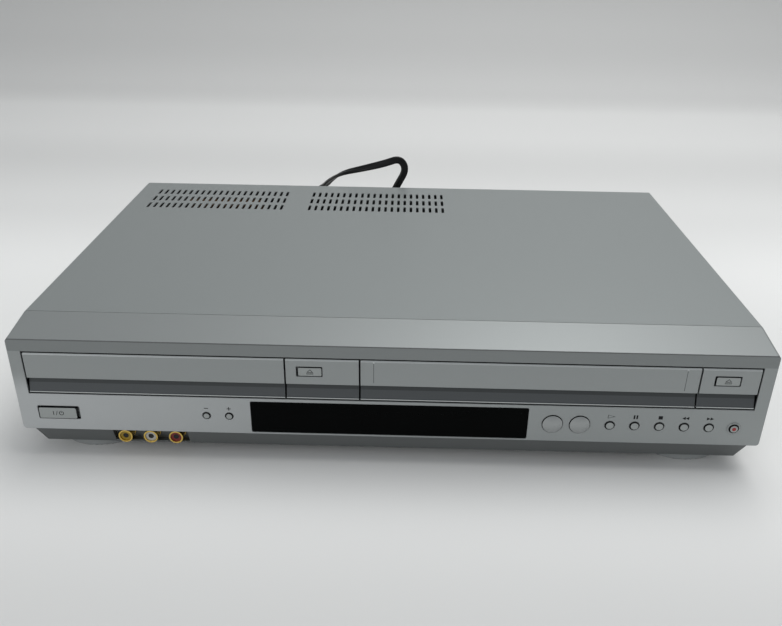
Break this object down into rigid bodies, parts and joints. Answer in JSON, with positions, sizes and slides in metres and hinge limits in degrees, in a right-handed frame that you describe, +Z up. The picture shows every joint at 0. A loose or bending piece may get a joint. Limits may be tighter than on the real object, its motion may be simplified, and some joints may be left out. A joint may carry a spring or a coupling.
{
  "type": "disc and cassette combination player",
  "caption": "Low silver-grey living-room player with a disc tray on the left, a hinged cassette flap on the right, a dark display, round keys and three front sockets.",
  "frame": {"origin": "centre of the footprint of the player without its lead, on the floor", "axes": "+X to the right of someone facing the front, +Y towards the back, +Z up"},
  "size_m": [0.43, 0.408, 0.1053],
  "materials": {
    "zinc_sheet": "dull zinc-plated sheet",
    "cover_paint": "fine satin silver-grey paint",
    "silver_moulding": "satin silver-painted moulding",
    "bright_buttons": "bright silver domes",
    "foot_plastic": "silver-grey foot",
    "dark_window": "smoked glossy window",
    "tube_glass": "display tube glass",
    "board_green": "circuit board laminate",
    "board_tan": "paper circuit board",
    "gold_plate": "gold-plated rings",
    "bright_metal": "nickel plate",
    "yellow_plastic": "yellow socket insert",
    "white_plastic": "white moulding",
    "red_plastic": "red socket insert",
    "black_plastic": "black moulding",
    "tray_plastic": "dark tray moulding",
    "rubber_belt": "black rubber",
    "drum_aluminium": "machined head drum",
    "brown_core": "brown taped transformer",
    "cord_black": "black cord jacket"
  },
  "bodies": {
    "cabinet": {"bottom_chassis": "zinc_sheet", "feet": "foot_plastic", "front_bezel": "silver_moulding", "top_cover": "cover_paint", "rear_panel": "zinc_sheet", "rear_sockets": "bright_metal", "cover_screws": "bright_metal", "display_window": "dark_window", "display_tube": "tube_glass", "front_board": "board_green", "disc_eject_panel": "silver_moulding", "tape_eject_panel": "silver_moulding", "front_jack_shells": "gold_plate", "video_jack_insert": "yellow_plastic", "left_sound_jack_insert": "white_plastic", "right_sound_jack_insert": "red_plastic", "loader_frame": "black_plastic", "tray_belt": "rubber_belt", "tray_motor": "bright_metal", "clamp_bridge": "zinc_sheet", "deck_frame": "zinc_sheet", "lower_drum": "drum_aluminium", "power_board": "board_tan", "power_transformer": "brown_core", "main_board": "board_green", "cord_strain_relief": "cord_black", "power_cord": "cord_black", "cord_coil": "cord_black", "power_plug": "cord_black"},
    "tray": {"disc_tray": "tray_plastic", "tray_front": "silver_moulding"},
    "pinion": {"tray_pinion": "white_plastic"},
    "drive_pulley": {"motor_pulley": "white_plastic"},
    "lift": {"traverse_frame": "black_plastic", "spindle_motor": "bright_metal", "sled_rods": "bright_metal"},
    "spindle": {"turntable": "black_plastic"},
    "sled": {"pickup_sled": "black_plastic"},
    "clamp": {"clamp_puck": "black_plastic"},
    "door": {"cassette_door": "silver_moulding"},
    "slider": {"carriage_slider": "zinc_sheet"},
    "holder": {"cassette_holder": "zinc_sheet"},
    "drum": {"upper_drum": "drum_aluminium"},
    "capstan_wheel": {"capstan": "bright_metal"},
    "roller": {"pinch_roller": "rubber_belt"},
    "left_reel": {"supply_reel": "white_plastic"},
    "right_reel": {"takeup_reel": "white_plastic"},
    "power_key": {"power_button": "silver_moulding"},
    "channel_down_key": {"channel_down_button": "silver_moulding"},
    "channel_up_key": {"channel_up_button": "silver_moulding"},
    "disc_select_key": {"disc_select_button": "bright_buttons"},
    "tape_select_key": {"tape_select_button": "bright_buttons"},
    "play_key": {"play_button": "silver_moulding"},
    "pause_key": {"pause_button": "silver_moulding"},
    "stop_key": {"stop_button": "silver_moulding"},
    "rewind_key": {"rewind_button": "silver_moulding"},
    "forward_key": {"forward_button": "silver_moulding"},
    "record_key": {"record_button": "silver_moulding"},
    "disc_eject_key": {"disc_eject_button": "silver_moulding"},
    "tape_eject_key": {"tape_eject_button": "silver_moulding"}
  },
  "joints": [
    {"name": "power_press", "type": "slide", "parent": "cabinet", "child": "power_key", "axis": [0, 1, 0], "range_m": [0, 0.0008], "stiffness_N_per_m": 300, "springref_m": -0.001},
    {"name": "channel_down_press", "type": "slide", "parent": "cabinet", "child": "channel_down_key", "axis": [0, 1, 0], "range_m": [0, 0.0008], "stiffness_N_per_m": 300, "springref_m": -0.001},
    {"name": "channel_up_press", "type": "slide", "parent": "cabinet", "child": "channel_up_key", "axis": [0, 1, 0], "range_m": [0, 0.0008], "stiffness_N_per_m": 300, "springref_m": -0.001},
    {"name": "disc_select_press", "type": "slide", "parent": "cabinet", "child": "disc_select_key", "axis": [0, 1, 0], "range_m": [0, 0.0008], "stiffness_N_per_m": 300, "springref_m": -0.001},
    {"name": "tape_select_press", "type": "slide", "parent": "cabinet", "child": "tape_select_key", "axis": [0, 1, 0], "range_m": [0, 0.0008], "stiffness_N_per_m": 300, "springref_m": -0.001},
    {"name": "play_press", "type": "slide", "parent": "cabinet", "child": "play_key", "axis": [0, 1, 0], "range_m": [0, 0.0008], "stiffness_N_per_m": 300, "springref_m": -0.001},
    {"name": "pause_press", "type": "slide", "parent": "cabinet", "child": "pause_key", "axis": [0, 1, 0], "range_m": [0, 0.0008], "stiffness_N_per_m": 300, "springref_m": -0.001},
    {"name": "stop_press", "type": "slide", "parent": "cabinet", "child": "stop_key", "axis": [0, 1, 0], "range_m": [0, 0.0008], "stiffness_N_per_m": 300, "springref_m": -0.001},
    {"name": "rewind_press", "type": "slide", "parent": "cabinet", "child": "rewind_key", "axis": [0, 1, 0], "range_m": [0, 0.0008], "stiffness_N_per_m": 300, "springref_m": -0.001},
    {"name": "forward_press", "type": "slide", "parent": "cabinet", "child": "forward_key", "axis": [0, 1, 0], "range_m": [0, 0.0008], "stiffness_N_per_m": 300, "springref_m": -0.001},
    {"name": "record_press", "type": "slide", "parent": "cabinet", "child": "record_key", "axis": [0, 1, 0], "range_m": [0, 0.0008], "stiffness_N_per_m": 300, "springref_m": -0.001},
    {"name": "disc_eject_press", "type": "slide", "parent": "cabinet", "child": "disc_eject_key", "axis": [0, 1, 0], "range_m": [0, 0.0008], "stiffness_N_per_m": 300, "springref_m": -0.001},
    {"name": "tape_eject_press", "type": "slide", "parent": "cabinet", "child": "tape_eject_key", "axis": [0, 1, 0], "range_m": [0, 0.0008], "stiffness_N_per_m": 300, "springref_m": -0.001},
    {"name": "tray_slide", "type": "slide", "parent": "cabinet", "child": "tray", "axis": [0, -1, 0], "range_m": [0, 0.142]},
    {"name": "pinion_turn", "type": "hinge", "parent": "cabinet", "child": "pinion", "pos_m": [-0.18335, -0.1107, 0.0475], "axis": [0, 0, 1], "range_deg": [0, 904.5]},
    {"name": "motor_turn", "type": "hinge", "parent": "cabinet", "child": "drive_pulley", "pos_m": [-0.15135, -0.1107, 0.0333], "axis": [0, 0, 1], "range_deg": [0, 3919.33]},
    {"name": "reader_lift", "type": "slide", "parent": "cabinet", "child": "lift", "axis": [0, 0, 1], "range_m": [0, 0.01]},
    {"name": "disc_spin", "type": "hinge", "parent": "lift", "child": "spindle", "pos_m": [-0.13335, -0.0647, 0.046], "axis": [0, 0, 1], "continuous": true},
    {"name": "sled_slide", "type": "slide", "parent": "lift", "child": "sled", "axis": [0, 1, 0], "range_m": [0, 0.034]},
    {"name": "clamp_spin", "type": "hinge", "parent": "cabinet", "child": "clamp", "pos_m": [-0.13335, -0.0647, 0.072], "axis": [0, 0, 1], "continuous": true},
    {"name": "door_swing", "type": "hinge", "parent": "cabinet", "child": "door", "pos_m": [0.07855, -0.1361, 0.0752], "axis": [1, 0, 0], "range_deg": [0, 88], "stiffness_Nm_per_rad": 0.02, "springref_deg": -20.05},
    {"name": "carriage_in", "type": "slide", "parent": "cabinet", "child": "slider", "axis": [0, 1, 0], "range_m": [0, 0.062]},
    {"name": "holder_drop", "type": "slide", "parent": "slider", "child": "holder", "axis": [0, 0, -1], "range_m": [0, 0.022]},
    {"name": "drum_spin", "type": "hinge", "parent": "cabinet", "child": "drum", "pos_m": [0.07855, 0.0413, 0.0232], "axis": [0, 0.1045, 0.9945], "continuous": true},
    {"name": "capstan_turn", "type": "hinge", "parent": "cabinet", "child": "capstan_wheel", "pos_m": [0.11655, 0.0173, 0.0172], "axis": [0, 0, 1], "continuous": true},
    {"name": "roller_turn", "type": "hinge", "parent": "cabinet", "child": "roller", "pos_m": [0.12555, 0.0173, 0.0172], "axis": [0, 0, 1], "continuous": true},
    {"name": "supply_turn", "type": "hinge", "parent": "cabinet", "child": "left_reel", "pos_m": [0.03005, -0.0577, 0.0172], "axis": [0, 0, 1], "continuous": true},
    {"name": "takeup_turn", "type": "hinge", "parent": "cabinet", "child": "right_reel", "pos_m": [0.12705, -0.0577, 0.0172], "axis": [0, 0, 1], "continuous": true}
  ],
  "couplings": [
    {"joint": "pinion_turn", "follows": "tray_slide", "rad_per_m": 111.11},
    {"joint": "motor_turn", "follows": "tray_slide", "rad_per_m": 481.48}
  ]
}
